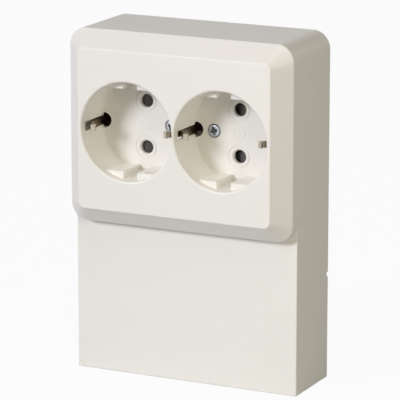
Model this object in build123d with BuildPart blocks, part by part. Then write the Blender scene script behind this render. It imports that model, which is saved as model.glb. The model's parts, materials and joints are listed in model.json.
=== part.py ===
from build123d import *
import math
import os

# Double earthed wall socket in a tall casing that is screwed to a wall, in millimetres.
# The wall is the plane y = 0, X runs to the right and Z upwards.
# A level is a distance from the wall towards the front, which is -Y.

# Plug face: the recess that takes a round plug, its pins and its guide blocks
recess_radius = 20.0
recess_depth = 18.3
draft_inset = 0.3
recess_floor = 2.0
recess_web = 1.2
recess_rim_radius = 0.9
pin_spacing = 19.0
pin_reach = 19.0
pin_radius = 2.4
pin_hole_gap = 0.35
pin_end_gap = 0.5
pin_ring_radius = 4.5
pin_ring_width = 0.6
pin_ring_depth = 0.25
pin_mouth_chamfer = 0.5
block_height = 3.2
block_setback = 3.8
groove_width = 6.2

# Cover frame around the recesses
side_margin = 1.5
end_margin = 12.6
chamfer_width = 6.9
chamfer_depth = 7.2
plate_corner_radius = 2.5
rim_height = 4.4
cover_wall = 2.0
cup_wall = 1.4
cover_edge_radius = 0.7
locating_rib_wall = 1.4
locating_rib_depth = 2.5

# Casing and wall plate
lower_height = 63.6
casing_wall = 2.0
casing_edge_radius = 0.5
seat_width = 4.5
pry_notch_level = -28.0
pry_notch_height = 2.0
pry_notch_depth = 1.2
snap_length = 10.0
snap_height = 0.8
snap_rise = 1.4
upper_snap_level = 45.0
plate_thickness = 1.8
upstand_height = 6.0
upstand_wall = 1.6
fixing_width = 60.0
fixing_height = 100.0
fixing_top_margin = 8.0
fixing_hole_radius = 2.2
cable_opening_width = 44.0
cable_opening_height = 36.0
cable_opening_radius = 4.0
cable_collar_wall = 1.6
cable_collar_height = 3.0

# Base, inner cover and the screws between them
base_floor = 1.8
base_wall = 1.6
base_side_gap = 1.6
base_top_margin = 4.9
terminal_room = 11.4
rib_wall = 1.2
rib_end_gap = 1.2
chamber_wall = 1.0
chamber_room = 1.4
chamber_length = 12.0
boss_radius = 3.25
boss_height = 7.0
lug_wall = 1.0
lug_plate = 2.0
base_screw_radius = 1.4
base_screw_head_radius = 2.7
base_screw_head_height = 1.9
base_screw_engagement = 5.5
inner_plate = 1.6
skirt_wall = 1.2
skirt_depth = 1.6

# Earth bows and their link
bow_thickness = 0.8
bridge_width = 9.0
clip_width = 2.6
clip_wall_gap = 0.65
clip_slot_setback = 3.3
clip_slot_depth = 2.3
clip_lip_inset = 3.1
clip_lip_setback = 2.2
clip_nose_reach = 5.95
clip_nose_setback = 3.0
clip_knee_setback = 7.2
clip_leg_inset = 0.6
clip_bend_radius = 0.6
clip_nose_radius = 1.0
clip_knee_radius = 1.5
clip_hole_radius = 3.1
clip_hole_inset = 1.0
collar_wall = 0.9
collar_height = 2.0
link_thickness = 0.8
link_arm = 6.4
link_width = 4.4
rivet_offset = 4.4
rivet_radius = 0.9
rivet_head_radius = 1.7
rivet_head_height = 0.5

# Rails, contact leaves and terminals
rail_thickness = 0.6
rail_width = 6.0
rail_end = 3.0
leaf_thickness = 0.5
leaf_width = 5.0
leaf_pinch = 0.3
leaf_flare = 0.7
leaf_bend_radius = 1.0
leaf_top_gap = 1.0
leaf_pinch_drop = 2.4
terminal_height = 5.5
tab_end = 4.0
tab_width = 8.0
terminal_screw_radius = 1.75
terminal_screw_head_radius = 3.0
terminal_screw_head_height = 2.2
wire_room = 2.9
clamp_size = 7.0
clamp_thickness = 1.0
clamp_gap = 0.9

# Shutters and springs
shutter_thickness = 4.5
shutter_overlap = 0.85
shutter_travel = 6.6
shutter_pad_height = 8.0
shutter_lip = 2.2
shutter_crest = 1.0
shutter_web_thickness = 2.5
shutter_web_width = 4.1
shutter_stop_gap = 0.6
guide_wall = 1.2
spring_room = 4.4
spring_thickness = 0.4
spring_width = 2.2
spring_leg = 5.0
spring_foot = 1.6
spring_bend_radius = 1.2

# Cover screws, and the cross recess and rounding of all screw heads
cover_screw_inset = 8.8
cover_screw_radius = 1.45
cover_screw_head_radius = 2.8
cover_screw_head_height = 1.35
cover_screw_length = 13.0
cover_screw_hole_gap = 0.25
cover_screw_boss_wall = 1.5
countersink_gap = 0.25
screw_head_rounding = 0.6
drive_width = 0.8
drive_length = 3.2
drive_depth = 1.1

# Clearances
fit_gap = 0.3
slide_gap = 0.3
thread_gap = 0.1

# Levels, from the wall to the front
rail_seat = plate_thickness + base_floor
rail_top = rail_seat + rail_thickness
floor_front = rail_top + pin_end_gap + pin_reach
floor_back = floor_front - recess_floor
shutter_front = floor_back - slide_gap
shutter_back = shutter_front - shutter_thickness
inner_front = shutter_back - slide_gap
inner_back = inner_front - inner_plate
bow_seat = inner_back - bow_thickness
front = floor_front + recess_depth
rim_front = front - chamfer_depth
casing_front = rim_front - rim_height
boss_top = plate_thickness + boss_height
lug_top = boss_top + lug_plate
screw_face = floor_front + fit_gap / 2

# Places in the plane of the wall
socket_spacing = 2 * recess_radius + recess_web
width = socket_spacing + 2 * (recess_radius + side_margin + chamfer_width)
cover_height = 2 * (recess_radius + end_margin + chamfer_width)
height = cover_height + lower_height
corner_radius = plate_corner_radius + chamfer_width
socket_line = (height - cover_height) / 2
cover_bottom = socket_line - cover_height / 2
cover_screw_offset = recess_radius - cover_screw_inset
pin_hole_radius = pin_radius + pin_hole_gap
base_half = width / 2 - casing_wall - fit_gap - upstand_wall - base_side_gap
base_top = socket_line + recess_radius + cup_wall + base_top_margin
partition_line = socket_line - recess_radius - cup_wall
base_bottom = partition_line - terminal_room
base_middle = (base_top + base_bottom) / 2
fixing_top = height / 2 - fixing_top_margin
fixing_bottom = fixing_top - fixing_height
lug_radius = boss_radius + fit_gap + lug_wall
lug_x = base_half - lug_radius
lug_lines = (base_bottom + lug_radius, base_top - lug_radius)
terminal_line = base_bottom + terminal_height
leg_x = lug_x - lug_radius - clamp_gap - clamp_size / 2
clip_leg = recess_radius - clip_leg_inset
clip_hole = recess_radius - clip_hole_inset
clip_slot_end = recess_radius + clip_slot_depth
shutter_half = pin_hole_radius + shutter_overlap
shutter_end = pin_spacing / 2 + shutter_pad_height / 2
pocket_outer = shutter_half + shutter_travel + spring_room
pocket_inner = shutter_half + shutter_stop_gap
pocket_end = shutter_end + slide_gap
sides = (("left", -1), ("right", 1))


def at(level):
    """Plane parallel to the wall at a level, with X to the right, Z up and its normal to the front."""
    return Plane.XZ.offset(level)


def plan(line):
    """Horizontal plane at a height, with X to the right and levels upwards in the sketch."""
    return Plane(origin=(0, 0, line), x_dir=(1, 0, 0), z_dir=(0, 0, -1))


def upright(x, line):
    """Plane across X through a point, with levels to the right and Z upwards in the sketch."""
    return Plane(origin=(x, 0, line), x_dir=(0, -1, 0), z_dir=(-1, 0, 0))


def place(side, outward):
    """X of a point of one socket, counted from its axis away from the middle of the cover."""
    return side * (socket_spacing / 2 + outward)


def hood_outline(level, inset):
    """Outline of the casing, drawn in by an inset: round upper corners and square lower ones."""
    with BuildSketch(at(level)) as outline:
        Rectangle(width - 2 * inset, height - 2 * inset)
        fillet(outline.vertices().group_by(Axis.Y)[-1], corner_radius - inset)
    return outline.sketch


def cover_outline(level, inset):
    """Outline of the cover, drawn in by an inset: a rectangle with four round corners."""
    with BuildSketch(at(level)) as outline:
        with Locations((0, socket_line)):
            RectangleRounded(width - 2 * inset, cover_height - 2 * inset, corner_radius - inset)
    return outline.sketch


os.makedirs("parts", exist_ok=True)

# Casing: a hood with an opening behind the cover and a flat front below it
with BuildPart() as casing:
    with BuildSketch(at(0)):
        with Locations((0, (cover_bottom - height / 2) / 2)):
            Rectangle(width, lower_height)
    extrude(amount=casing_front)
    front_edges = casing.faces().sort_by(Axis.Y)[0].edges().sort_by(Axis.Z)[:3]
    bottom_edges = casing.edges().filter_by(Axis.Y).group_by(Axis.Z)[0]
    fillet(front_edges + bottom_edges, casing_edge_radius)
    with BuildSketch(at(0)) as upper:
        with Locations((0, socket_line)):
            Rectangle(width, cover_height)
        fillet(upper.vertices().group_by(Axis.Y)[-1], corner_radius)
    extrude(amount=casing_front)
    extrude(hood_outline(0, casing_wall), amount=casing_front - casing_wall, mode=Mode.SUBTRACT)
    with BuildSketch(at(casing_front - casing_wall)):
        with Locations((0, socket_line)):
            RectangleRounded(
                width - 2 * seat_width, cover_height - 2 * seat_width, corner_radius - seat_width
            )
    extrude(amount=casing_wall, mode=Mode.SUBTRACT)
    with BuildSketch(at(0)):
        with Locations((0, pry_notch_level)):
            Rectangle(width, pry_notch_height)
    extrude(amount=pry_notch_depth, mode=Mode.SUBTRACT)
    snap_x = width / 2 - casing_wall
    snap_level = plate_thickness + upstand_height / 2
    for snap_line in (pry_notch_level, upper_snap_level):
        with BuildSketch(plan(snap_line)):
            for side in (-1, 1):
                with BuildLine():
                    Polyline(
                        (side * snap_x, snap_level - snap_rise / 2),
                        (side * (snap_x - snap_height), snap_level),
                        (side * snap_x, snap_level + snap_rise / 2),
                        close=True,
                    )
                make_face()
        extrude(amount=snap_length / 2, both=True)
casing.part.label = "casing"
export_step(casing.part, "parts/casing.step")

# Wall plate: a tray that the casing snaps over, with the fixing holes and the cable opening
with BuildPart() as base_plate:
    plate_inset = casing_wall + fit_gap
    extrude(hood_outline(0, plate_inset), amount=plate_thickness + upstand_height)
    tray = hood_outline(plate_thickness, plate_inset + upstand_wall)
    extrude(tray, amount=upstand_height, mode=Mode.SUBTRACT)
    for snap_line in (pry_notch_level, upper_snap_level):
        with BuildSketch(plan(snap_line)):
            with Locations((0, snap_level)):
                Rectangle(width, snap_rise + 2 * fit_gap)
        extrude(amount=snap_length / 2 + fit_gap, both=True, mode=Mode.SUBTRACT)
    with BuildSketch(at(plate_thickness)):
        with Locations((0, fixing_bottom)):
            RectangleRounded(
                cable_opening_width + 2 * cable_collar_wall,
                cable_opening_height + 2 * cable_collar_wall,
                cable_opening_radius + cable_collar_wall,
            )
    extrude(amount=cable_collar_height)
    with BuildSketch(at(0)):
        with Locations((0, fixing_bottom)):
            RectangleRounded(cable_opening_width, cable_opening_height, cable_opening_radius)
        with Locations((0, (fixing_top + fixing_bottom) / 2)):
            with GridLocations(fixing_width, fixing_height, 2, 2):
                Circle(fixing_hole_radius)
    extrude(amount=plate_thickness + cable_collar_height, mode=Mode.SUBTRACT)
    with BuildSketch(at(plate_thickness)):
        for line in lug_lines:
            with Locations((-lug_x, line), (lug_x, line)):
                Circle(boss_radius)
    extrude(amount=boss_height)
    with BuildSketch(at(boss_top - base_screw_engagement - fit_gap)):
        for line in lug_lines:
            with Locations((-lug_x, line), (lug_x, line)):
                Circle(base_screw_radius + thread_gap)
    extrude(amount=base_screw_engagement + fit_gap, mode=Mode.SUBTRACT)
base_plate.part.label = "base_plate"
export_step(base_plate.part, "parts/base_plate.step")

# Cover: the chamfered frame and both plug recesses, moulded in one piece
slope = math.hypot(chamfer_width, chamfer_depth)
cavity_rim = rim_front - cover_wall * (slope - chamfer_depth) / chamfer_width
chamfer_angle = math.degrees(math.atan2(chamfer_width, chamfer_depth))
with BuildPart() as socket_cover:
    extrude(cover_outline(casing_front, 0), amount=rim_height)
    extrude(cover_outline(rim_front, 0), amount=chamfer_depth, taper=chamfer_angle)
    front_edges = socket_cover.faces().sort_by(Axis.Y)[0].edges()
    rim_edges = socket_cover.edges().filter_by_position(
        Axis.Y, -rim_front - fit_gap, -rim_front + fit_gap
    )
    fillet(front_edges + rim_edges, cover_edge_radius)
    extrude(cover_outline(casing_front, cover_wall), amount=cavity_rim - casing_front, mode=Mode.SUBTRACT)
    extrude(
        cover_outline(cavity_rim, cover_wall),
        amount=front - cover_wall - cavity_rim,
        taper=chamfer_angle,
        mode=Mode.SUBTRACT,
    )
    rib_outer = seat_width + fit_gap
    rib_inner = rib_outer + locating_rib_wall
    rib_back = casing_front - locating_rib_depth
    rib_front = rim_front + chamfer_depth * rib_outer / chamfer_width - cover_wall / 3
    with BuildSketch(at(rib_back)):
        with Locations((0, socket_line)):
            RectangleRounded(
                width - 2 * rib_outer, cover_height - 2 * rib_outer, corner_radius - rib_outer
            )
            RectangleRounded(
                width - 2 * rib_inner,
                cover_height - 2 * rib_inner,
                corner_radius - rib_inner,
                mode=Mode.SUBTRACT,
            )
    extrude(amount=rib_front - rib_back)
    with BuildSketch(at(floor_back)):
        with Locations((0, socket_line)):
            with GridLocations(socket_spacing, 1, 2, 1):
                Circle(recess_radius + cup_wall)
    extrude(amount=front - cover_wall / 2 - floor_back)
    with BuildSketch(at(inner_front)):
        for name, side in sides:
            with Locations((place(side, -cover_screw_offset), socket_line)):
                Circle(cover_screw_radius + cover_screw_hole_gap + cover_screw_boss_wall)
    extrude(amount=floor_back - inner_front)
    # plug recesses: a profile with a drafted wall and a rounded mouth, turned about each axis
    for name, side in sides:
        axis_x = place(side, 0)
        wall_x = place(side, recess_radius)
        brim_x = place(side, recess_radius + side_margin)
        with BuildSketch(plan(socket_line)) as recess:
            with BuildLine():
                Polyline(
                    (axis_x, floor_front),
                    (wall_x - side * draft_inset, floor_front),
                    (wall_x, front),
                    (brim_x, front),
                    (brim_x, front + fit_gap),
                    (axis_x, front + fit_gap),
                    close=True,
                )
            make_face()
            fillet(recess.vertices().sort_by_distance((wall_x, front))[0], recess_rim_radius)
        revolve(axis=Axis((axis_x, 0, socket_line), (0, 1, 0)), mode=Mode.SUBTRACT)
    # guide blocks: the ends of the circle beyond a flat, each parted by a groove down its middle
    with BuildSketch(at(floor_front)):
        with Locations((0, socket_line)):
            with GridLocations(socket_spacing, 1, 2, 1):
                Circle(recess_radius + cup_wall / 2)
                Rectangle(
                    2 * (recess_radius + cup_wall), 2 * (recess_radius - block_height), mode=Mode.SUBTRACT
                )
                Rectangle(groove_width, 2 * (recess_radius + cup_wall), mode=Mode.SUBTRACT)
    extrude(amount=recess_depth - block_setback)
    # pin holes with a chamfered mouth, and a fine ring around each where the core pin stood
    with BuildSketch(at(floor_back)):
        with Locations((0, socket_line)):
            with GridLocations(socket_spacing, pin_spacing, 2, 2):
                Circle(pin_hole_radius)
    extrude(amount=recess_floor, mode=Mode.SUBTRACT)
    pin_mouths = socket_cover.edges().filter_by(GeomType.CIRCLE).filter_by_position(
        Axis.Y, -floor_front - fit_gap / 2, -floor_front + fit_gap / 2
    )
    chamfer(pin_mouths.filter_by(lambda rim: rim.radius < pin_ring_radius), pin_mouth_chamfer)
    with BuildSketch(at(floor_front)):
        with Locations((0, socket_line)):
            with GridLocations(socket_spacing, pin_spacing, 2, 2):
                Circle(pin_ring_radius + pin_ring_width / 2)
                Circle(pin_ring_radius - pin_ring_width / 2, mode=Mode.SUBTRACT)
    extrude(amount=-pin_ring_depth, mode=Mode.SUBTRACT)
    # earth slots: a window in each side of the recess and a round hole where it meets the floor
    with BuildSketch(at(floor_back)):
        for name, side in sides:
            for toward in (-1, 1):
                with Locations((place(side, toward * (clip_leg + clip_slot_end) / 2), socket_line)):
                    Rectangle(clip_slot_end - clip_leg, clip_width + 2 * clip_wall_gap)
    extrude(amount=front - clip_slot_setback - floor_back, mode=Mode.SUBTRACT)
    with BuildSketch(at(floor_back)):
        for name, side in sides:
            for toward in (-1, 1):
                with Locations((place(side, toward * clip_hole), socket_line)):
                    Circle(clip_hole_radius)
    extrude(amount=recess_floor, mode=Mode.SUBTRACT)
    with BuildSketch(at(inner_front)):
        for name, side in sides:
            with Locations((place(side, -cover_screw_offset), socket_line)):
                Circle(cover_screw_radius + cover_screw_hole_gap)
    extrude(amount=floor_front - inner_front, mode=Mode.SUBTRACT)
    with BuildSketch(at(floor_front)):
        for name, side in sides:
            with Locations((place(side, -cover_screw_offset), socket_line)):
                Circle(cover_screw_head_radius + countersink_gap)
    extrude(
        amount=-(cover_screw_head_radius + countersink_gap - cover_screw_radius - cover_screw_hole_gap),
        taper=45,
        mode=Mode.SUBTRACT,
    )
socket_cover.part.label = "socket_cover"
export_step(socket_cover.part, "parts/socket_cover.step")

# Cover screws: countersunk heads with a cross recess, held by the collars of the earth bows
for name, side in sides:
    screw_x = place(side, -cover_screw_offset)
    with BuildPart() as cover_screw:
        with BuildSketch(Plane(origin=(screw_x, 0, socket_line), x_dir=(1, 0, 0), z_dir=(0, 0, -1))):
            with BuildLine():
                Polyline(
                    (0, screw_face),
                    (cover_screw_head_radius, screw_face),
                    (cover_screw_radius, screw_face - cover_screw_head_height),
                    (cover_screw_radius, screw_face - cover_screw_length),
                    (0, screw_face - cover_screw_length),
                    close=True,
                )
            make_face()
        revolve(axis=Axis((screw_x, 0, socket_line), (0, 1, 0)))
        with BuildSketch(at(screw_face - drive_depth)):
            with Locations((screw_x, socket_line)):
                Rectangle(drive_width, drive_length)
                Rectangle(drive_length, drive_width)
        extrude(amount=drive_depth, mode=Mode.SUBTRACT)
    cover_screw.part.label = "cover_screw_" + name
    export_step(cover_screw.part, "parts/cover_screw_" + name + ".step")

# Base: contact chambers, ribs that carry the earth bows, and lugs for the plate's bosses
rib_near = link_arm + rib_end_gap
rib_far = place(1, clip_leg - rib_end_gap)
with BuildPart() as socket_base:
    with BuildSketch(at(plate_thickness)):
        with Locations((0, base_middle)):
            Rectangle(2 * base_half, base_top - base_bottom)
    extrude(amount=inner_back - plate_thickness)
    with BuildSketch(at(rail_seat)):
        with Locations((0, (base_top + partition_line) / 2)):
            Rectangle(2 * (base_half - base_wall), base_top - partition_line - 2 * base_wall)
        with Locations((0, (base_bottom + partition_line) / 2)):
            Rectangle(2 * base_half, partition_line - base_bottom)
    extrude(amount=inner_back - rail_seat, mode=Mode.SUBTRACT)
    with BuildSketch(at(rail_seat)):
        for name, side in sides:
            with Locations((side * (rib_far + rib_near) / 2, socket_line)):
                with GridLocations(1, bridge_width - rib_wall - 2 * fit_gap, 1, 2):
                    Rectangle(rib_far - rib_near, rib_wall)
    extrude(amount=bow_seat - rail_seat)
    with BuildSketch(at(rail_seat)):
        with Locations((0, socket_line)):
            with GridLocations(socket_spacing, pin_spacing, 2, 2):
                with GridLocations(1, rail_width + 2 * chamber_room + chamber_wall, 1, 2):
                    Rectangle(chamber_length, chamber_wall)
    extrude(amount=bow_seat - leaf_top_gap - rail_seat)
    with BuildSketch(at(plate_thickness)):
        for line in lug_lines:
            with Locations((-lug_x, line), (lug_x, line)):
                Circle(lug_radius)
    extrude(amount=lug_top - plate_thickness)
    with BuildSketch(at(plate_thickness)):
        for line in lug_lines:
            with Locations((-lug_x, line), (lug_x, line)):
                Circle(boss_radius + fit_gap)
    extrude(amount=boss_height, mode=Mode.SUBTRACT)
    with BuildSketch(at(boss_top)):
        for line in lug_lines:
            with Locations((-lug_x, line), (lug_x, line)):
                Circle(base_screw_radius + fit_gap)
    extrude(amount=lug_plate, mode=Mode.SUBTRACT)
    # gaps in the walls for the legs of both rails and the stem of the earth link
    with BuildSketch(at(rail_seat)):
        with Locations((-leg_x, (socket_line + partition_line) / 2)):
            Rectangle(rail_width + 2 * fit_gap, socket_line - partition_line + bridge_width)
        with Locations((leg_x, partition_line)):
            Rectangle(rail_width + 2 * fit_gap, 2 * (base_wall + fit_gap))
    extrude(amount=rail_thickness + fit_gap, mode=Mode.SUBTRACT)
    with BuildSketch(at(bow_seat - link_thickness - fit_gap)):
        with Locations((0, partition_line)):
            Rectangle(link_width + 2 * fit_gap, 2 * (base_wall + fit_gap))
    extrude(amount=inner_back - bow_seat + link_thickness + fit_gap, mode=Mode.SUBTRACT)
socket_base.part.label = "socket_base"
export_step(socket_base.part, "parts/socket_base.step")

# Base screws: pan heads on the lugs, shanks in the plate's bosses
with BuildPart() as base_screws:
    with BuildSketch(at(boss_top - base_screw_engagement)):
        for line in lug_lines:
            with Locations((-lug_x, line), (lug_x, line)):
                Circle(base_screw_radius)
    extrude(amount=base_screw_engagement + lug_plate)
    with BuildSketch(at(lug_top)):
        for line in lug_lines:
            with Locations((-lug_x, line), (lug_x, line)):
                Circle(base_screw_head_radius)
    extrude(amount=base_screw_head_height)
    head_rims = base_screws.edges().filter_by(GeomType.CIRCLE).group_by(Axis.Y)[0]
    fillet(head_rims, screw_head_rounding)
    with BuildSketch(at(lug_top + base_screw_head_height - drive_depth)):
        for line in lug_lines:
            with Locations((-lug_x, line), (lug_x, line)):
                Rectangle(drive_width, drive_length)
                Rectangle(drive_length, drive_width)
    extrude(amount=drive_depth, mode=Mode.SUBTRACT)
base_screws.part.label = "base_screws"
export_step(base_screws.part, "parts/base_screws.step")

# Inner cover: closes the chambers and guides both shutters between its walls
with BuildPart() as contact_cover:
    with BuildSketch(at(inner_back)):
        with Locations((0, (base_top + partition_line) / 2)):
            Rectangle(2 * base_half, base_top - partition_line)
    extrude(amount=inner_plate)
    skirt_half = base_half - base_wall - fit_gap
    skirt_top = base_top - base_wall - fit_gap
    skirt_height = (base_top - socket_line) / 2
    with BuildSketch(at(inner_back - skirt_depth)):
        with Locations((0, skirt_top - skirt_height / 2)):
            Rectangle(2 * skirt_half, skirt_height)
        with Locations((0, skirt_top - skirt_wall - skirt_height / 2)):
            Rectangle(2 * (skirt_half - skirt_wall), skirt_height, mode=Mode.SUBTRACT)
    extrude(amount=skirt_depth)
    with BuildSketch(at(inner_front)):
        for name, side in sides:
            with Locations((place(side, (pocket_outer - pocket_inner) / 2), socket_line)):
                Rectangle(pocket_outer + pocket_inner + 2 * guide_wall, 2 * (pocket_end + guide_wall))
                Rectangle(pocket_outer + pocket_inner, 2 * pocket_end, mode=Mode.SUBTRACT)
    extrude(amount=shutter_front - inner_front)
    with BuildSketch(at(inner_back)):
        with Locations((0, socket_line)):
            with GridLocations(socket_spacing, pin_spacing, 2, 2):
                Circle(pin_hole_radius + fit_gap)
        for name, side in sides:
            with Locations((place(side, -cover_screw_offset), socket_line)):
                Circle(cover_screw_radius + cover_screw_hole_gap)
            for toward in (-1, 1):
                with Locations((place(side, toward * clip_leg), socket_line)):
                    Rectangle(2 * (bow_thickness + clip_bend_radius), clip_width + 2 * fit_gap)
    extrude(amount=inner_plate, mode=Mode.SUBTRACT)
contact_cover.part.label = "contact_cover"
export_step(contact_cover.part, "parts/contact_cover.step")

# Earth bows: a strap bent up at both ends into spring noses, with a wide bridge and a screw collar
for name, side in sides:
    socket_x = place(side, 0)
    with BuildPart() as earth_bow:
        lip = (recess_radius - clip_lip_inset, front - clip_lip_setback)
        nose = (recess_radius - clip_nose_reach, front - clip_nose_setback)
        knee = (clip_leg, front - clip_knee_setback)
        heel = (clip_leg, inner_back)
        half_strap = (lip, nose, knee, heel)
        left_half = [(socket_x - away, level) for away, level in half_strap]
        right_half = [(socket_x + away, level) for away, level in reversed(half_strap)]
        half_bends = [clip_nose_radius, clip_knee_radius, clip_bend_radius]
        with BuildSketch(plan(socket_line)):
            with BuildLine():
                FilletPolyline(left_half + right_half, radius=half_bends + half_bends[::-1])
                offset(amount=bow_thickness, side=Side.RIGHT)
            make_face()
        extrude(amount=clip_width / 2, both=True)
        with BuildSketch(at(bow_seat)):
            with Locations((socket_x, socket_line)):
                Rectangle(2 * (clip_leg - clip_bend_radius), bridge_width)
        extrude(amount=bow_thickness)
        screw_place = (place(side, -cover_screw_offset), socket_line)
        with BuildSketch(at(bow_seat - collar_height)):
            with Locations(screw_place):
                Circle(cover_screw_radius + thread_gap + collar_wall)
        extrude(amount=collar_height)
        rivet_place = (side * rivet_offset, socket_line)
        with BuildSketch(at(bow_seat - collar_height)):
            with Locations(screw_place):
                Circle(cover_screw_radius + thread_gap)
            with Locations(rivet_place):
                Circle(rivet_radius)
        extrude(amount=collar_height + bow_thickness, mode=Mode.SUBTRACT)
    earth_bow.part.label = "earth_bow_" + name
    export_step(earth_bow.part, "parts/earth_bow_" + name + ".step")

# Earth link: a cross bar under both bows, and a stem bent down to the earth terminal
with BuildPart() as earth_link:
    link_top = bow_seat - link_thickness
    link_bend = terminal_line + clamp_size / 2 + fit_gap + link_thickness
    with BuildSketch(at(link_top)):
        with Locations((0, socket_line)):
            Rectangle(2 * link_arm, bridge_width)
        with Locations((-rivet_offset, socket_line), (rivet_offset, socket_line)):
            Circle(rivet_radius, mode=Mode.SUBTRACT)
    extrude(amount=link_thickness)
    with BuildSketch(upright(0, 0)):
        with BuildLine():
            FilletPolyline(
                (link_top, socket_line - bridge_width / 2),
                (link_top, link_bend),
                (rail_seat, link_bend),
                (rail_seat, terminal_line - tab_end),
                radius=clip_bend_radius,
            )
            offset(amount=link_thickness, side=Side.LEFT)
        make_face()
    extrude(amount=link_width / 2, both=True)
    with BuildSketch(at(rail_seat)):
        with Locations((0, terminal_line)):
            Rectangle(tab_width, 2 * tab_end - 2 * clip_bend_radius)
    extrude(amount=link_thickness)
    with BuildSketch(at(rail_seat)):
        with Locations((0, terminal_line)):
            Circle(terminal_screw_radius + thread_gap)
    extrude(amount=link_thickness, mode=Mode.SUBTRACT)
earth_link.part.label = "earth_link"
export_step(earth_link.part, "parts/earth_link.step")

# Earth rivets: shanks through bow and link, closed by a flat head on each side
with BuildPart() as earth_rivets:
    rivet_places = ((-rivet_offset, socket_line), (rivet_offset, socket_line))
    with BuildSketch(at(link_top - rivet_head_height)):
        with Locations(*rivet_places):
            Circle(rivet_head_radius)
    extrude(amount=rivet_head_height)
    with BuildSketch(at(link_top)):
        with Locations(*rivet_places):
            Circle(rivet_radius)
    extrude(amount=link_thickness + bow_thickness)
earth_rivets.part.label = "earth_rivets"
export_step(earth_rivets.part, "parts/earth_rivets.step")

# Rails: a strip with two pairs of spring leaves, and a leg down to its terminal
for name, pin_side, leg_side in (("line_rail", 1, -1), ("neutral_rail", -1, 1)):
    pin_line = socket_line + pin_side * pin_spacing / 2
    far_end = socket_spacing / 2 + rail_end
    leaf_root = rail_width / 2 - leaf_thickness
    leaf_top = bow_seat - leaf_top_gap
    leaf_middle = leaf_top - leaf_pinch_drop
    with BuildPart() as rail:
        with BuildSketch(at(rail_seat)):
            with Locations((leg_side * (leg_x + rail_width / 2 - far_end) / 2, pin_line)):
                Rectangle(leg_x + rail_width / 2 + far_end, rail_width)
            with Locations((leg_side * leg_x, (pin_line + terminal_line - tab_end) / 2)):
                Rectangle(rail_width, pin_line - terminal_line + tab_end)
            with Locations((leg_side * leg_x, terminal_line)):
                Rectangle(tab_width, 2 * (tab_end - clip_bend_radius))
                Circle(terminal_screw_radius + thread_gap, mode=Mode.SUBTRACT)
        extrude(amount=rail_thickness)
        for socket_x in (-socket_spacing / 2, socket_spacing / 2):
            with BuildSketch(upright(socket_x, pin_line)):
                with BuildLine():
                    FilletPolyline(
                        (rail_seat, leaf_root),
                        (rail_top + leaf_bend_radius, leaf_root),
                        (leaf_middle, pin_radius - leaf_pinch),
                        (leaf_top, pin_radius + leaf_flare),
                        radius=leaf_bend_radius,
                    )
                    offset(amount=leaf_thickness, side=Side.LEFT)
                make_face()
                mirror(about=Plane.XZ)
            extrude(amount=leaf_width / 2, both=True)
    rail.part.label = name
    export_step(rail.part, "parts/" + name + ".step")

# Terminals: a clamp plate under each screw head, over the end of a rail or of the earth link
terminal_places = ((-leg_x, terminal_line), (0, terminal_line), (leg_x, terminal_line))
clamp_seat = rail_top + wire_room
with BuildPart() as clamp_plates:
    with BuildSketch(at(clamp_seat)):
        with Locations(*terminal_places):
            Rectangle(clamp_size, clamp_size)
            Circle(terminal_screw_radius + thread_gap, mode=Mode.SUBTRACT)
    extrude(amount=clamp_thickness)
clamp_plates.part.label = "clamp_plates"
export_step(clamp_plates.part, "parts/clamp_plates.step")

with BuildPart() as terminal_screws:
    with BuildSketch(at(rail_seat + thread_gap)):
        with Locations(*terminal_places):
            Circle(terminal_screw_radius)
    extrude(amount=clamp_seat + clamp_thickness - rail_seat)
    with BuildSketch(at(clamp_seat + clamp_thickness + thread_gap)):
        with Locations(*terminal_places):
            Circle(terminal_screw_head_radius)
    extrude(amount=terminal_screw_head_height)
    head_rims = terminal_screws.edges().filter_by(GeomType.CIRCLE).group_by(Axis.Y)[0]
    fillet(head_rims, screw_head_rounding)
    with BuildSketch(at(clamp_seat + clamp_thickness + terminal_screw_head_height - drive_depth)):
        with Locations(*terminal_places):
            Rectangle(drive_width, drive_length)
            Rectangle(drive_length, drive_width)
    extrude(amount=drive_depth + thread_gap, mode=Mode.SUBTRACT)
terminal_screws.part.label = "terminal_screws"
export_step(terminal_screws.part, "parts/terminal_screws.step")

# Shutters: two ramped pads in front of the pin chambers, joined by a web that the spring pushes on
for name, side in sides:
    with BuildPart() as shutter:
        for pin_line in (socket_line - pin_spacing / 2, socket_line + pin_spacing / 2):
            with BuildSketch(plan(pin_line)):
                with BuildLine():
                    Polyline(
                        (place(side, -shutter_half), shutter_back),
                        (place(side, shutter_half), shutter_back),
                        (place(side, shutter_half), shutter_front),
                        (place(side, shutter_crest), shutter_front),
                        (place(side, -shutter_half), shutter_back + shutter_lip),
                        close=True,
                    )
                make_face()
            extrude(amount=shutter_pad_height / 2, both=True)
        with BuildSketch(at(shutter_back)):
            with Locations((place(side, shutter_half - shutter_web_width / 2), socket_line)):
                Rectangle(shutter_web_width, pin_spacing)
        extrude(amount=shutter_web_thickness)
    shutter.part.label = "shutter_" + name
    export_step(shutter.part, "parts/shutter_" + name + ".step")

# Shutter springs: bent hairpins between the web of the shutter and the end of its guide
for name, side in sides:
    near = shutter_half
    far = pocket_outer
    with BuildPart() as spring:
        with BuildSketch(at(inner_front + slide_gap)):
            with BuildLine():
                FilletPolyline(
                    (place(side, near + spring_thickness), socket_line + spring_leg + spring_foot),
                    (place(side, near + spring_thickness), socket_line + spring_leg),
                    (place(side, (near + far) / 2), socket_line - spring_leg),
                    (place(side, far - spring_thickness), socket_line + spring_leg),
                    (place(side, far - spring_thickness), socket_line + spring_leg + spring_foot),
                    radius=[spring_foot / 2, spring_bend_radius, spring_foot / 2],
                )
                offset(amount=spring_thickness, side=Side.LEFT if side < 0 else Side.RIGHT)
            make_face()
        extrude(amount=spring_width)
    spring.part.label = "shutter_spring_" + name
    export_step(spring.part, "parts/shutter_spring_" + name + ".step")
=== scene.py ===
import json
import math

import bpy
import numpy as np
from mathutils import Matrix, Vector


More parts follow.
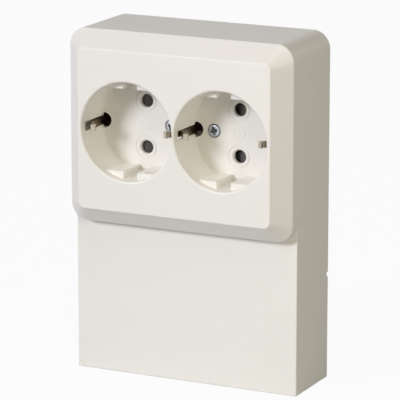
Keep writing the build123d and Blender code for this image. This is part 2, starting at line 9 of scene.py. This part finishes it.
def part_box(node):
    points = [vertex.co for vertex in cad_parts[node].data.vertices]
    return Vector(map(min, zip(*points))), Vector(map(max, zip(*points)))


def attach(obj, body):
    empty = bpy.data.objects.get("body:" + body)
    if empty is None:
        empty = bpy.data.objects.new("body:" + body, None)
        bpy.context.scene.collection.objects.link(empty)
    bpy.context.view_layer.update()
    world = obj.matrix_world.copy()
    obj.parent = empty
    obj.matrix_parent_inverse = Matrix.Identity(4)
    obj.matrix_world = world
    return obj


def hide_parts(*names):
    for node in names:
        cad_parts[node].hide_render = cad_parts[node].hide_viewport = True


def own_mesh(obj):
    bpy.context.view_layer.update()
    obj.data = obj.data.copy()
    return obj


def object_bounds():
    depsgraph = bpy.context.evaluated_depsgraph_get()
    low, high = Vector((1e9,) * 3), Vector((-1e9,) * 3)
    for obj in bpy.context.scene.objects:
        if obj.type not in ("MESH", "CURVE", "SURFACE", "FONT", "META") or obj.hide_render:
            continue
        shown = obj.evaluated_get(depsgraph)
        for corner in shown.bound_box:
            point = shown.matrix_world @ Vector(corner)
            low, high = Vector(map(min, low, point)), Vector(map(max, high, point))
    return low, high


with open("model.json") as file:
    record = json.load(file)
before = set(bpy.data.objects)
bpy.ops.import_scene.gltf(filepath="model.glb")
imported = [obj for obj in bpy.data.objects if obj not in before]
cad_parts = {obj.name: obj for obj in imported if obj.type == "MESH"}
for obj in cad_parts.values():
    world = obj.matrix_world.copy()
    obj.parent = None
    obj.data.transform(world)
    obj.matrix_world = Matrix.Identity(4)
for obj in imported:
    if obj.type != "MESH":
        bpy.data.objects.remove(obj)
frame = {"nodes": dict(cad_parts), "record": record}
cad_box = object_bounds()
nodes = frame["nodes"]
MM = 0.001

# Level of the recess floors in front of the wall, in millimetres, as in the part's source
floor_front = 23.7

# Finishes: gloss on the shader's own scale, patterns per metre, relief in metres
gloss_level = 0.2
flow_scale = 40.0
grain_scale = 3200.0
stain_scale = 420.0
plastic_bump = 0.08
plastic_relief = 0.00004
metal_bump = 0.06
metal_relief = 0.00002

# Depths along Y, in metres, between which the metal's colour turns to a painted dark brown shade of the slot
# interior: nowhere, or behind the earth noses
no_slot_shade = (1.0, 2.0)
behind_nose_shade = (-0.0382, -0.0372)

# Edges that bend by more than this, in degrees, stay sharp on a smooth piece
crease_angle = 40

# Cover screws, in millimetres, and their turn in degrees
screw_columns = 128
screw_shank_rows = 160
screw_cone_rows = 10
screw_face_rows = 72
screw_middle = 0.03
screw_turns = {"cover_screw_left": -24, "cover_screw_right": 14}
screw_shank_radius = 1.45
screw_dome = 0.1
screw_rim_drop = 0.35
screw_face_power = 6
thread_pitch = 1.0
thread_depth = 0.28
star_depth = 1.0
star_arm = 1.55
star_arm_half = 0.36
star_notch = 1.1
star_notch_half = 0.2
star_edge = 0.14
star_taper = 0.45
star_notch_share = 0.6
# Painted shade on the heads: full where the star is this deep
screw_shade_depth = 0.5
screw_head_gap = 0.05
# Painted shade ring at the rim: from this share of the head's radius, over the fade below
screw_rim_shade = 0.84
screw_rim_fade = 0.08

# Gate marks in the middle of the recess floors, in millimetres
gate_ring_radius = 2.4
gate_ring_width = 0.2
gate_height = 0.18
gate_sunk_share = 0.2
gate_dot_radius = 0.4
gate_edge_widths = 3
gate_rows = 60
gate_columns = 64
gate_middle = 0.02

# Shutter springs, in millimetres
spring_thickness = 0.4
spring_leg = 5.0
spring_foot = 1.6
spring_bend_radius = 1.2
spring_edge_power = 0.25
spring_columns = 24
spring_arc_steps = 14

# Corners of the casing and the cover, in millimetres: the part's own levels and radii, then the tighter round
casing_front = 30.4
rim_front = 34.8
cover_front = 42.0
chamfer_width = 6.9
cover_edge_radius = 0.7
corner_radius = 9.4
tight_corner_radius = 7.3
corner_fill_end = 0.85
corner_fill_root = 0.3
corner_arc_steps = 25
corner_straight_steps = (0, 0.5, 0.85)
rim_edge_gap = 0.3
rim_edge_steps = 8
chamfer_steps = 14

# Camera, fitted to the photograph's edges: millimetres about the line of the sockets, and degrees
camera_lens = 264.3
camera_yaw = 25.97
camera_pitch = 13.54
camera_distance = 1190.2
camera_right = -7.47
camera_up = -33.37
camera_sensor = 36
camera_near = 50
camera_far = 20000

# Floor and backdrop, in millimetres
stage_front = -4000.0
stage_back = 2200.0
stage_bend = 600.0
stage_height = 2600.0
stage_half = 4000.0
stage_steps = 24

# Lights: name, azimuth and elevation in degrees, size and distance in metres, power in watts, colour
lamps = (
    ("key_light", -28, 22, 0.7, 2.5, 40.3, (0.89, 0.92, 1.0)),
    ("side_light", 54, 14, 0.2, 0.55, 0.63, (1.0, 0.962, 0.78)),
    ("upper_light", 12, 60, 0.7, 1.6, 5.3, (1.0, 0.93, 0.88)),
    ("fill_light", 30, 30, 0.7, 2.5, 3.4, (1.0, 0.978, 0.738)),
    ("back_light", 180, 0, 0.7, 1.6, 9.0, (1.0, 0.95, 0.86)),
)
world_light = 0.01

# Floor paper: how far it is plain white to the camera, and its grey for the light
paper_share = 0.95
paper_grey = 0.55


# Mesh helpers
def mesh_object(name, points, faces, creased=True):
    """Makes a smooth object at the origin from points in millimetres and a list of faces."""
    mesh = bpy.data.meshes.new(name)
    mesh.from_pydata((np.asarray(points) * MM).tolist(), [], faces)
    mesh.update()
    mesh.polygons.foreach_set("use_smooth", np.ones(len(mesh.polygons), bool))
    if creased:
        mesh.set_sharp_from_angle(angle=math.radians(crease_angle))
    made = bpy.data.objects.new(name, mesh)
    bpy.context.scene.collection.objects.link(made)
    return made


def tube_faces(rows, columns):
    """Faces of a grid that closes round its columns, an array of four points each."""
    row = np.arange(rows - 1)[:, None] * columns
    column = np.arange(columns)[None, :]
    after = (column + 1) % columns
    quads = np.stack([row + column, row + after, row + columns + after, row + columns + column], -1)
    return quads.reshape(-1, 4)


def turned_faces(rows, columns):
    """Faces of such a grid between two poles: a fan before its first row and one after its last row."""
    column = np.arange(columns)
    after = (column + 1) % columns
    first = np.stack([np.zeros(columns, int), 1 + after, 1 + column], -1)
    last_row = 1 + (rows - 1) * columns
    last = np.stack([np.full(columns, 1 + rows * columns), last_row + column, last_row + after], -1)
    return (tube_faces(rows, columns) + 1).tolist() + first.tolist() + last.tolist()


def turned(name, centre, radius, level, creased=True):
    """Turns a surface about an axis square to the wall.

    Rows run from the back along the profile to the front, columns round the axis. Each point lies at its
    radius from the axis and at its level in front of the wall, and both ends close in a point on the axis.
    """
    rows, columns = radius.shape
    angle = np.arange(columns) * 2 * math.pi / columns
    x = centre[0] + radius * np.cos(angle)
    z = centre[1] + radius * np.sin(angle)
    grid = np.stack([x, -level, z], -1).reshape(-1, 3)
    poles = [[centre[0], -level[end].mean(), centre[1]] for end in (0, -1)]
    points = np.concatenate([poles[:1], grid, poles[1:]])
    return mesh_object(name, points, turned_faces(rows, columns), creased)


def middle(node):
    """X and Z of the middle of a CAD node, in millimetres."""
    low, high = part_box(node)
    return (low.x + high.x) / 2 / MM, (low.z + high.z) / 2 / MM


# Shader helpers
def new_material(name):
    """An empty node material and its tree."""
    material = bpy.data.materials.new(name)
    material.use_nodes = True
    tree = material.node_tree
    tree.nodes.clear()
    return material, tree


def add(tree, kind, **values):
    """Adds a node and sets its properties, or its input sockets where the name is one of them."""
    node = tree.nodes.new(kind)
    for key, value in values.items():
        if hasattr(node, key):
            setattr(node, key, value)
        else:
            node.inputs[key.replace("_", " ")].default_value = value
    return node


def effect_group(name, inputs):
    """An empty shared effect with named inputs that gives a colour, a roughness and a height."""
    group = bpy.data.node_groups.new(name, "ShaderNodeTree")
    for label, kind, default in inputs:
        socket = group.interface.new_socket(label, in_out="INPUT", socket_type=kind)
        socket.default_value = default
    group.interface.new_socket("Colour", in_out="OUTPUT", socket_type="NodeSocketColor")
    for label in ("Roughness", "Height"):
        group.interface.new_socket(label, in_out="OUTPUT", socket_type="NodeSocketFloat")
    source = group.nodes.new("NodeGroupInput")
    out = group.nodes.new("NodeGroupOutput")
    return group, source, out


def moulded_group():
    """Moulded skin: a tint that drifts with the flow of the melt, a fine eroded grain and patchy gloss."""
    group, source, out = effect_group(
        "moulded_skin",
        (
            ("Colour", "NodeSocketColor", (0.8, 0.8, 0.8, 1)),
            ("Drift colour", "NodeSocketColor", (0.8, 0.8, 0.8, 1)),
            ("Flow scale", "NodeSocketFloat", flow_scale),
            ("Grain scale", "NodeSocketFloat", grain_scale),
            ("Gloss low", "NodeSocketFloat", 0.3),
            ("Gloss high", "NodeSocketFloat", 0.4),
        ),
    )
    links = group.links
    place = add(group, "ShaderNodeTexCoord")
    flow = add(group, "ShaderNodeTexNoise", Detail=3.0, Roughness=0.55, Distortion=1.2)
    grain = add(group, "ShaderNodeTexNoise", Detail=2.0, Roughness=0.6)
    tint = add(group, "ShaderNodeMix", data_type="RGBA")
    gloss = add(group, "ShaderNodeMapRange")
    links.new(place.outputs["Object"], flow.inputs["Vector"])
    links.new(place.outputs["Object"], grain.inputs["Vector"])
    links.new(source.outputs["Flow scale"], flow.inputs["Scale"])
    links.new(source.outputs["Grain scale"], grain.inputs["Scale"])
    links.new(flow.outputs["Fac"], tint.inputs["Factor"])
    links.new(source.outputs["Colour"], tint.inputs["A"])
    links.new(source.outputs["Drift colour"], tint.inputs["B"])
    links.new(flow.outputs["Fac"], gloss.inputs["Value"])
    links.new(source.outputs["Gloss low"], gloss.inputs["To Min"])
    links.new(source.outputs["Gloss high"], gloss.inputs["To Max"])
    links.new(tint.outputs["Result"], out.inputs["Colour"])
    links.new(gloss.outputs["Result"], out.inputs["Roughness"])
    links.new(grain.outputs["Fac"], out.inputs["Height"])
    return group


def strip_group():
    """Drawn or plated metal: stretched lines, a blotchy stain, and painted shade where a mesh has values for
    it.

    From one depth along Y to the next, the plating turns from its own colour to a painted dark brown shade.
    """
    group, source, out = effect_group(
        "drawn_metal",
        (
            ("Colour", "NodeSocketColor", (0.7, 0.7, 0.7, 1)),
            ("Stain", "NodeSocketColor", (0.6, 0.6, 0.6, 1)),
            ("Painted shade", "NodeSocketColor", (0.08, 0.085, 0.09, 1)),
            ("Slot shade", "NodeSocketColor", (0.30, 0.245, 0.165, 1)),
            ("Unshaded to", "NodeSocketFloat", no_slot_shade[0]),
            ("Shaded from", "NodeSocketFloat", no_slot_shade[1]),
            ("Stretch", "NodeSocketVector", (1.0, 1.0, 1.0)),
            ("Gloss low", "NodeSocketFloat", 0.2),
            ("Gloss high", "NodeSocketFloat", 0.4),
        ),
    )
    links = group.links
    place = add(group, "ShaderNodeTexCoord")
    stretch = add(group, "ShaderNodeVectorMath", operation="MULTIPLY")
    lines = add(group, "ShaderNodeTexNoise", Scale=1.0, Detail=3.0, Roughness=0.6)
    stain = add(group, "ShaderNodeTexNoise", Scale=stain_scale, Detail=4.0, Roughness=0.6)
    tint = add(group, "ShaderNodeMix", data_type="RGBA")
    # Painted shade: the mesh's values mix the colour towards the dark shade colour
    sunk = add(group, "ShaderNodeAttribute", attribute_name="painted_shade")
    shade_mixed = add(group, "ShaderNodeMix", data_type="RGBA")
    # Painted shade of the slot interior: past a depth along Y the colour turns dark brown
    depth = add(group, "ShaderNodeSeparateXYZ")
    slot_shade_mask = add(group, "ShaderNodeMapRange", interpolation_type="SMOOTHSTEP")
    slot_shaded = add(group, "ShaderNodeMix", data_type="RGBA")
    gloss = add(group, "ShaderNodeMapRange")
    links.new(place.outputs["Object"], stretch.inputs[0])
    links.new(source.outputs["Stretch"], stretch.inputs[1])
    links.new(stretch.outputs["Vector"], lines.inputs["Vector"])
    links.new(place.outputs["Object"], stain.inputs["Vector"])
    links.new(stain.outputs["Fac"], tint.inputs["Factor"])
    links.new(source.outputs["Colour"], tint.inputs["A"])
    links.new(source.outputs["Stain"], tint.inputs["B"])
    links.new(sunk.outputs["Fac"], shade_mixed.inputs["Factor"])
    links.new(tint.outputs["Result"], shade_mixed.inputs["A"])
    links.new(source.outputs["Painted shade"], shade_mixed.inputs["B"])
    links.new(place.outputs["Object"], depth.inputs["Vector"])
    links.new(depth.outputs["Y"], slot_shade_mask.inputs["Value"])
    links.new(source.outputs["Unshaded to"], slot_shade_mask.inputs["From Min"])
    links.new(source.outputs["Shaded from"], slot_shade_mask.inputs["From Max"])
    links.new(slot_shade_mask.outputs["Result"], slot_shaded.inputs["Factor"])
    links.new(shade_mixed.outputs["Result"], slot_shaded.inputs["A"])
    links.new(source.outputs["Slot shade"], slot_shaded.inputs["B"])
    links.new(lines.outputs["Fac"], gloss.inputs["Value"])
    links.new(source.outputs["Gloss low"], gloss.inputs["To Min"])
    links.new(source.outputs["Gloss high"], gloss.inputs["To Max"])
    links.new(slot_shaded.outputs["Result"], out.inputs["Colour"])
    links.new(gloss.outputs["Result"], out.inputs["Roughness"])
    links.new(lines.outputs["Fac"], out.inputs["Height"])
    return group


moulded_skin = moulded_group()
drawn_metal = strip_group()


def finished(name, group, values, bump, bump_depth, metallic=0.0):
    """A material from one shared effect: its colour, gloss and relief go into a Principled shader."""
    material, tree = new_material(name)
    effect = tree.nodes.new("ShaderNodeGroup")
    effect.node_tree = group
    for key, value in values.items():
        effect.inputs[key].default_value = value
    relief = add(tree, "ShaderNodeBump", Strength=bump, Distance=bump_depth)
    shader = add(tree, "ShaderNodeBsdfPrincipled", Metallic=metallic)
    shader.inputs["Specular IOR Level"].default_value = gloss_level
    out = tree.nodes.new("ShaderNodeOutputMaterial")
    tree.links.new(effect.outputs["Colour"], shader.inputs["Base Color"])
    tree.links.new(effect.outputs["Roughness"], shader.inputs["Roughness"])
    tree.links.new(effect.outputs["Height"], relief.inputs["Height"])
    tree.links.new(relief.outputs["Normal"], shader.inputs["Normal"])
    tree.links.new(shader.outputs["BSDF"], out.inputs["Surface"])
    return material


def plastic(name, colour, drift, gloss):
    """Moulded plastic of one colour that drifts slightly to another, with a range of roughness."""
    values = {
        "Colour": (*colour, 1),
        "Drift colour": (*drift, 1),
        "Flow scale": flow_scale,
        "Grain scale": grain_scale,
        "Gloss low": gloss[0],
        "Gloss high": gloss[1],
    }
    return finished(name, moulded_skin, values, plastic_bump, plastic_relief)


def metal(name, colour, stain, gloss, stretch, shade_depths=no_slot_shade):
    """Plated or bare metal with drawn or stamped lines per metre of X, Y and Z, and a range of roughness."""
    values = {
        "Colour": (*colour, 1),
        "Stain": (*stain, 1),
        "Stretch": stretch,
        "Unshaded to": shade_depths[0],
        "Shaded from": shade_depths[1],
        "Gloss low": gloss[0],
        "Gloss high": gloss[1],
    }
    return finished(name, drawn_metal, values, metal_bump, metal_relief, metallic=1.0)


finishes = {
    "white_plastic": plastic(
        "warm_white_plastic", (0.885, 0.857, 0.80), (0.872, 0.841, 0.78), (0.3, 0.4)
    ),
    "grey_plastic": plastic(
        "light_grey_plastic", (0.60, 0.60, 0.58), (0.56, 0.56, 0.54), (0.45, 0.6)
    ),
    "brown_plastic": plastic(
        "brown_phenolic", (0.16, 0.12, 0.09), (0.14, 0.105, 0.08), (0.45, 0.6)
    ),
    "shutter_plastic": plastic(
        "dark_shutter_plastic", (0.10, 0.092, 0.088), (0.115, 0.106, 0.1), (0.35, 0.5)
    ),
    "spring_steel": metal(
        "spring_steel", (0.56, 0.57, 0.58), (0.45, 0.45, 0.46), (0.22, 0.38), (900, 900, 9000)
    ),
    "zinc_steel": metal(
        "bright_zinc", (0.52, 0.55, 0.59), (0.45, 0.48, 0.52), (0.2, 0.3), (900, 900, 900)
    ),
    # Nickel strip: painted shade on its legs behind the earth noses
    "plated_bronze": metal(
        "nickel_strip", (0.54, 0.49, 0.41), (0.45, 0.40, 0.32), (0.22, 0.34), (5000, 500, 500), behind_nose_shade
    ),
    "brass": metal(
        "stamped_brass", (0.78, 0.58, 0.27), (0.62, 0.43, 0.18), (0.24, 0.42), (700, 700, 6000)
    ),
}
for item in frame["record"]["subparts"]:
    node = nodes[item["node"]]
    node.data.materials.clear()
    node.data.materials.append(finishes[item["material_slot"]])


def dress(piece, slot):
    """Gives a piece of the housing the finish of one of the record's slots."""
    piece.data.materials.append(finishes[slot])
    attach(piece, "housing")


# Cover screws
def ease(value):
    """Smooth step from 0 to 1: three times the square less twice the cube."""
    share = np.clip(value, 0, 1)
    return share * share * (3 - 2 * share)


def arm(radius, angle, half, length):
    """Mask of four arms a quarter turn apart: 1 inside half their width and their length, soft-edged."""
    folded = (angle + math.pi / 4) % (math.pi / 2) - math.pi / 4
    across = np.abs(radius * np.sin(folded))
    along = radius * np.cos(folded)
    return ease((half - across) / star_edge + 0.5) * ease((length - along) / star_edge + 0.5)


def cover_screw(node, turn):
    """Countersunk screw in the place of a CAD node, turned by an angle.

    The shank's radius drops from the crest by a triangle wave along a helix. A cone leads to the rim. The
    face falls off towards the rim with a power of the radius, and sinks inside a star of four arms and four
    notches. The star, the middle point of the face and a ring at the rim carry painted shade.
    """
    low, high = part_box(node)
    face, tip = -low.y / MM, -high.y / MM
    head = (high.x - low.x) / 2 / MM - screw_head_gap
    cone_back = face - screw_rim_drop - (head - screw_shank_radius)
    angle = np.arange(screw_columns) * 2 * math.pi / screw_columns
    even = np.ones(screw_columns)

    shank_level = np.linspace(tip, cone_back, screw_shank_rows)[:, None] * even
    wave = np.abs(2 * ((shank_level / thread_pitch - angle / (2 * math.pi)) % 1) - 1)
    shank_radius = screw_shank_radius - thread_depth * wave
    cone_level = np.linspace(cone_back, face - screw_rim_drop, screw_cone_rows)[:, None] * even
    cone_radius = screw_shank_radius + cone_level - cone_back
    face_radius = np.linspace(head, screw_middle, screw_face_rows)[:, None] * even
    long_arms = arm(face_radius, angle - turn, star_arm_half, star_arm)
    notches = arm(face_radius, angle - turn - math.pi / 4, star_notch_half, star_notch)
    star = np.maximum(long_arms, star_notch_share * notches)
    sunk = star_depth * (1 - star_taper * face_radius / star_arm) * star
    fall = (screw_rim_drop + screw_dome) * (face_radius / head) ** screw_face_power
    face_level = face + screw_dome - fall - sunk

    radius = np.concatenate([shank_radius, cone_radius, face_radius])
    level = np.concatenate([shank_level, cone_level, face_level])
    screw = turned(node + "_threaded", middle(node), radius, level)
    # Painted shade on the head: by the star's depth, in a ring at the rim, and full at the face's middle
    # point
    painted_shade = np.zeros(len(screw.data.vertices))
    rim = ease((face_radius / head - screw_rim_shade) / screw_rim_fade)
    painted_shade[-1 - sunk.size : -1] = np.maximum(np.clip(sunk / screw_shade_depth, 0, 1), rim).ravel()
    painted_shade[-1] = 1.0
    screw.data.attributes.new("painted_shade", "FLOAT", "POINT").data.foreach_set("value", painted_shade)
    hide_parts(node)
    dress(screw, "zinc_steel")


for node, turn in screw_turns.items():
    cover_screw(node, math.radians(turn))


# Gate marks
def gate_mark(side):
    """Trace of the moulding gate on a recess floor: a ring and a dot, each a bell curve over the radius."""
    edge = gate_ring_radius + gate_edge_widths * gate_ring_width
    radius = np.linspace(edge, gate_middle, gate_rows)[:, None] * np.ones(gate_columns)
    ring = np.exp(-(((radius - gate_ring_radius) / gate_ring_width) ** 2))
    dot = np.exp(-((radius / gate_dot_radius) ** 2))
    level = floor_front + gate_height * (np.maximum(ring, dot) - gate_sunk_share)
    mark = turned("gate_mark_" + side, middle("shutter_" + side), radius, level, creased=False)
    dress(mark, "white_plastic")


for side in ("left", "right"):
    gate_mark(side)


# Corners of the casing and the cover
def cover_profile():
    """Levels and insets along the cover's side: up the rim, round its edge by an arc, along the chamfer."""
    depth = cover_front - rim_front
    bend = math.atan2(chamfer_width, depth)
    tangent = cover_edge_radius * math.tan(bend / 2)
    angle = np.linspace(0, bend, rim_edge_steps)
    share = np.linspace(tangent * math.cos(bend) / depth, corner_fill_end, chamfer_steps)[1:]
    foot = rim_front - tangent
    level = np.concatenate([
        [casing_front, foot - rim_edge_gap],
        foot + cover_edge_radius * np.sin(angle),
        rim_front + depth * share,
    ])
    inset = np.concatenate([[0, 0], cover_edge_radius * (1 - np.cos(angle)), chamfer_width * share])
    return level, inset


def corner_fill(level, inset, side, upper):
    """Points of one corner: at each level a loop between a tight round and the solid's wider round.

    Both rounds touch the same two straight sides. The loop runs out along one side, round the tight arc and
    along the other side, and comes back along the wider arc, a little inside the solid. Along the chamfer,
    the difference of the two radii fades with the square of the way that is left.
    """
    low, high = (np.array(corner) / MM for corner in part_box("socket_cover"))
    way_left = 1 - np.clip((level - rim_front) / (cover_front - rim_front), 0, 1)
    wide = (corner_radius - inset)[:, None]
    tight = wide - ((corner_radius - tight_corner_radius) * way_left**2)[:, None]
    straight = wide + (tight - wide) * np.array(corner_straight_steps)
    angle = np.linspace(0, math.pi / 2, corner_arc_steps)
    out = np.concatenate([straight, tight * (1 - np.sin(angle)), 0 * straight], 1)
    back = np.linspace(math.pi / 2, 0, out.shape[1])
    root = wide - corner_fill_root
    along = np.concatenate([out, wide - root * np.sin(back)], 1)
    across = np.concatenate([out[:, ::-1], wide - root * np.cos(back)], 1)
    x = side * (high[0] - inset[:, None] - along)
    z = high[2] - inset[:, None] - across if upper else low[2] + inset[:, None] + across
    points = np.stack([x, -level[:, None] + 0 * x, z], -1)
    return points if (side > 0) == upper else points[:, ::-1]


def corner_fills(name, level, inset, corners):
    """Fills some of the corners: each a closed tube of loops, with a strip across its two end loops."""
    loops = [corner_fill(level, inset, *corner) for corner in corners]
    rows, columns, _ = loops[0].shape
    half = np.arange(columns // 2 - 1)
    cap = np.stack([half, half + 1, columns - 2 - half, columns - 1 - half], -1)
    tube = tube_faces(rows, columns)[:, [0, 3, 2, 1]]
    shell = np.concatenate([tube, cap, cap[:, ::-1] + (rows - 1) * columns])
    points = np.concatenate(loops).reshape(-1, 3)
    faces = np.concatenate([shell + count * rows * columns for count in range(len(corners))])
    fill = mesh_object(name, points, faces.tolist())
    dress(fill, "white_plastic")


upper_corners = ((-1, True), (1, True))
lower_corners = ((-1, False), (1, False))
corner_fills("casing_corners", np.array([0, casing_front]), np.zeros(2), upper_corners)
corner_fills("cover_corners", *cover_profile(), upper_corners + lower_corners)


# Shutter springs
def rounded_path(corners, radii):
    """Points of a line whose corners all turn left and are rounded, and the line's normals to the left.

    Each corner becomes an arc that starts a tangent's length before it, about a centre to the left of it.
    """
    runs = np.diff(corners, axis=0)
    ahead = runs / np.linalg.norm(runs, axis=1, keepdims=True)
    left = np.stack([-ahead[:, 1], ahead[:, 0]], -1)
    bend = np.arccos((ahead[:-1] * ahead[1:]).sum(1))
    tangent = (radii * np.tan(bend / 2))[:, None]
    centre = corners[1:-1] - tangent * ahead[:-1] + radii[:, None] * left[:-1]
    angle = bend[:, None] * np.linspace(0, 1, spring_arc_steps)
    normal = np.cos(angle)[..., None] * left[:-1, None] - np.sin(angle)[..., None] * ahead[:-1, None]
    arcs = centre[:, None] - radii[:, None, None] * normal
    points = np.concatenate([corners[:1], arcs.reshape(-1, 2), corners[-1:]])
    normals = np.concatenate([left[:1], normal.reshape(-1, 2), left[-1:]])
    return points, normals


def shutter_spring(side, outward):
    """Hairpin in the place of a CAD node: a flat strip carried along a rounded line of two feet and two legs.

    The strip's section is a superellipse, so its edges are rounded.
    """
    node = "shutter_spring_" + side
    low, high = (np.array(corner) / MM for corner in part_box(node))
    near, far = (low[0], high[0]) if outward > 0 else (high[0], low[0])
    length = high[0] - low[0]
    corners = np.array([
        [spring_thickness, spring_leg + spring_foot],
        [spring_thickness, spring_leg],
        [length / 2, -spring_leg],
        [length - spring_thickness, spring_leg],
        [length - spring_thickness, spring_leg + spring_foot],
    ])
    radii = np.array([spring_foot / 2, spring_bend_radius, spring_foot / 2])
    points, normals = rounded_path(corners, radii)

    angle = outward * np.arange(spring_columns) * 2 * math.pi / spring_columns
    across = np.sign(np.cos(angle)) * np.abs(np.cos(angle)) ** spring_edge_power
    wide = np.sign(np.sin(angle)) * np.abs(np.sin(angle)) ** spring_edge_power
    offset = spring_thickness * (1 + across) / 2
    x = near + outward * (points[:, :1] - normals[:, :1] * offset)
    z = middle("shutter_" + side)[1] + points[:, 1:] - normals[:, 1:] * offset
    y = (low[1] + high[1]) / 2 + (high[1] - low[1]) / 2 * wide + 0 * x
    grid = np.stack([x, y, z], -1)
    ends = grid[[0, -1]].mean(1)
    strip = np.concatenate([ends[:1], grid.reshape(-1, 3), ends[1:]])
    spring = mesh_object(node + "_strip", strip, turned_faces(*x.shape))
    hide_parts(node)
    dress(spring, "spring_steel")

    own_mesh(spring)


shutter_spring("left", -1)
shutter_spring("right", 1)


# Stage
def seen_rays(tree):
    """Socket that is 1 for what the camera sees, also in gloss and through glass, else 0."""
    ray = add(tree, "ShaderNodeLightPath")
    plain = add(tree, "ShaderNodeMath", operation="MAXIMUM")
    seen = add(tree, "ShaderNodeMath", operation="MAXIMUM")
    tree.links.new(ray.outputs["Is Camera Ray"], plain.inputs[0])
    tree.links.new(ray.outputs["Is Glossy Ray"], plain.inputs[1])
    tree.links.new(plain.outputs[0], seen.inputs[0])
    tree.links.new(ray.outputs["Is Transmission Ray"], seen.inputs[1])
    return seen.outputs[0]


def floor_material():
    """Floor and backdrop: pale and matt for the light, and close to white for the camera and for gloss."""
    material, tree = new_material("studio_paper")
    share = add(tree, "ShaderNodeMath", operation="MULTIPLY")
    share.inputs[1].default_value = paper_share
    paper = add(tree, "ShaderNodeBsdfDiffuse", Color=(paper_grey, paper_grey, paper_grey, 1))
    white = add(tree, "ShaderNodeEmission", Color=(1, 1, 1, 1), Strength=1.0)
    both = add(tree, "ShaderNodeMixShader")
    out = add(tree, "ShaderNodeOutputMaterial")
    tree.links.new(seen_rays(tree), share.inputs[0])
    tree.links.new(share.outputs[0], both.inputs["Fac"])
    tree.links.new(paper.outputs["BSDF"], both.inputs[1])
    tree.links.new(white.outputs["Emission"], both.inputs[2])
    tree.links.new(both.outputs["Shader"], out.inputs["Surface"])
    return material


def studio_floor():
    """Floor that curves up into a backdrop: a straight run, a quarter circle and a wall, carried along X."""
    lowest = cad_box[0].z / MM
    turn = np.linspace(0, math.pi / 2, stage_steps)
    bend_y = stage_back + stage_bend * np.sin(turn)
    bend_z = stage_bend * (1 - np.cos(turn))
    profile_y = np.concatenate([[stage_front], bend_y, [stage_back + stage_bend]])
    profile_z = np.concatenate([[0.0], bend_z, [stage_height]]) + lowest
    across = np.array([-stage_half, stage_half])
    y, x = np.meshgrid(profile_y, across, indexing="ij")
    z = np.repeat(profile_z[:, None], 2, 1)
    points = np.stack([x, y, z], -1).reshape(-1, 3)
    start = np.arange(len(profile_y) - 1) * 2
    faces = np.stack([start, start + 1, start + 3, start + 2], -1).tolist()
    floor = mesh_object("studio_floor", points, faces, creased=False)
    floor.data.materials.append(floor_material())


studio_floor()


def studio_world():
    """White round everything for the camera and for gloss, and a faint even light for all else."""
    world = bpy.data.worlds.new("studio")
    bpy.context.scene.world = world
    world.use_nodes = True
    tree = world.node_tree
    tree.nodes.clear()
    faint = add(tree, "ShaderNodeBackground", Color=(1, 1, 1, 1), Strength=world_light)
    white = add(tree, "ShaderNodeBackground", Color=(1, 1, 1, 1), Strength=1.0)
    both = add(tree, "ShaderNodeMixShader")
    out = add(tree, "ShaderNodeOutputWorld")
    tree.links.new(seen_rays(tree), both.inputs["Fac"])
    tree.links.new(faint.outputs["Background"], both.inputs[1])
    tree.links.new(white.outputs["Background"], both.inputs[2])
    tree.links.new(both.outputs["Shader"], out.inputs["Surface"])


studio_world()


def soft_light(name, azimuth, elevation, size, distance, power, colour):
    """A square soft light that faces the part from an azimuth, seen from the front, and an elevation."""
    a, e = math.radians(azimuth), math.radians(elevation)
    towards = Vector((math.sin(a) * math.cos(e), -math.cos(a) * math.cos(e), math.sin(e)))
    data = bpy.data.lights.new(name, "AREA")
    data.shape = "SQUARE"
    data.size = size
    data.energy = power
    data.color = colour
    lamp = bpy.data.objects.new(name, data)
    lamp.location = towards * distance
    lamp.rotation_mode = "QUATERNION"
    lamp.rotation_quaternion = (-towards).to_track_quat("-Z", "Y")
    bpy.context.scene.collection.objects.link(lamp)


for lamp in lamps:
    soft_light(*lamp)


# Camera
def photo_camera():
    """Camera turned by a yaw and tipped down by a pitch, at a distance from the line of the sockets."""
    yaw, pitch = math.radians(camera_yaw), math.radians(camera_pitch)
    ahead = Vector((-math.sin(yaw) * math.cos(pitch), math.cos(yaw) * math.cos(pitch), -math.sin(pitch)))
    right = Vector((math.cos(yaw), math.sin(yaw), 0))
    above = right.cross(ahead)
    line = Vector((0, 0, middle("shutter_left")[1]))
    eye = (ahead * -camera_distance + right * camera_right + above * camera_up + line) * MM
    data = bpy.data.cameras.new("photo_camera")
    data.lens = camera_lens
    data.sensor_width = camera_sensor
    data.clip_start = camera_near * MM
    data.clip_end = camera_far * MM
    camera = bpy.data.objects.new("photo_camera", data)
    turn = Matrix((right, above, -ahead)).transposed().to_4x4()
    camera.matrix_world = Matrix.Translation(eye) @ turn
    bpy.context.scene.collection.objects.link(camera)
    bpy.context.scene.camera = camera


photo_camera()
bpy.context.scene.view_settings.view_transform = "Standard"
